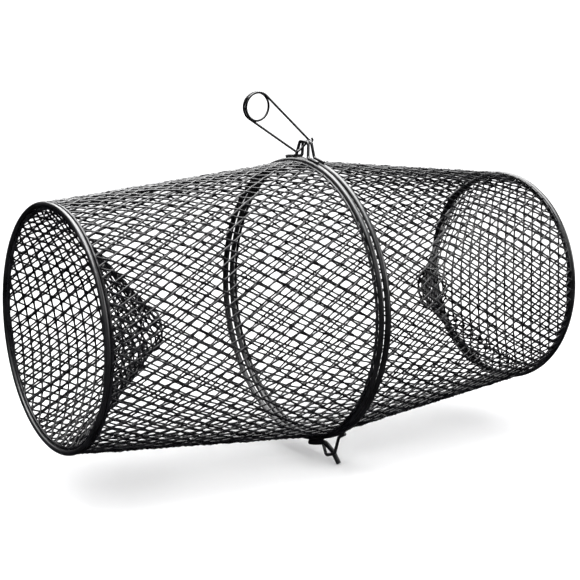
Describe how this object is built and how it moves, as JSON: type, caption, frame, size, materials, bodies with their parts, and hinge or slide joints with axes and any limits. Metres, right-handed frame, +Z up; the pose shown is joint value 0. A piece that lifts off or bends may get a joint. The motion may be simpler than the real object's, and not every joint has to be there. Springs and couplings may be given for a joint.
{
  "type": "folding crab trap",
  "caption": "Torpedo-shaped wire mesh trap in two hinged baskets, with inward funnels at the ends, held shut by a spring clip.",
  "frame": {"origin": "on the ground under the middle of the overall box, which is under the trap's seam", "axes": "+X along the trap's axis from the half with the hinge hook to the half with the hinge eye, +Z up"},
  "size_m": [0.4354, 0.2288, 0.2959],
  "materials": {
    "coated_mesh": "dipped vinyl, semi-gloss, charcoal black",
    "coated_wire": "dipped vinyl over steel wire, semi-gloss black",
    "spring_wire": "black-coated spring wire, semi-gloss"
  },
  "bodies": {
    "left_half": {"left_body_mesh": "coated_mesh", "left_funnel_mesh": "coated_mesh", "left_middle_rim": "coated_wire", "left_end_rim": "coated_wire", "left_clip_lug": "coated_wire", "left_hinge_hook": "coated_wire"},
    "right_half": {"right_body_mesh": "coated_mesh", "right_funnel_mesh": "coated_mesh", "right_middle_rim": "coated_wire", "right_end_rim": "coated_wire", "right_clip_lug": "coated_wire", "right_hinge_eye": "coated_wire"},
    "clip": {"clip_coil_arm": "spring_wire"},
    "clip_arm": {"clip_latch_arm": "spring_wire"}
  },
  "joints": [
    {"name": "halves_hinge", "type": "hinge", "parent": "left_half", "child": "right_half", "pos_m": [0, -0.04354, 0.00868], "axis": [0, 0.9397, -0.342], "range_deg": [0, 100]},
    {"name": "clip_swing", "type": "hinge", "parent": "left_half", "child": "clip", "pos_m": [-0.00045, -0.00709, 0.25129], "axis": [0, 0.9983, 0.0576], "range_deg": [0, 60]},
    {"name": "clip_arm_spring", "type": "hinge", "parent": "clip", "child": "clip_arm", "pos_m": [-0.0455, -0.00898, 0.28404], "axis": [0, -0.9983, -0.0576], "range_deg": [0, 15], "stiffness_Nm_per_rad": 0.02, "springref_deg": -5.73}
  ]
}
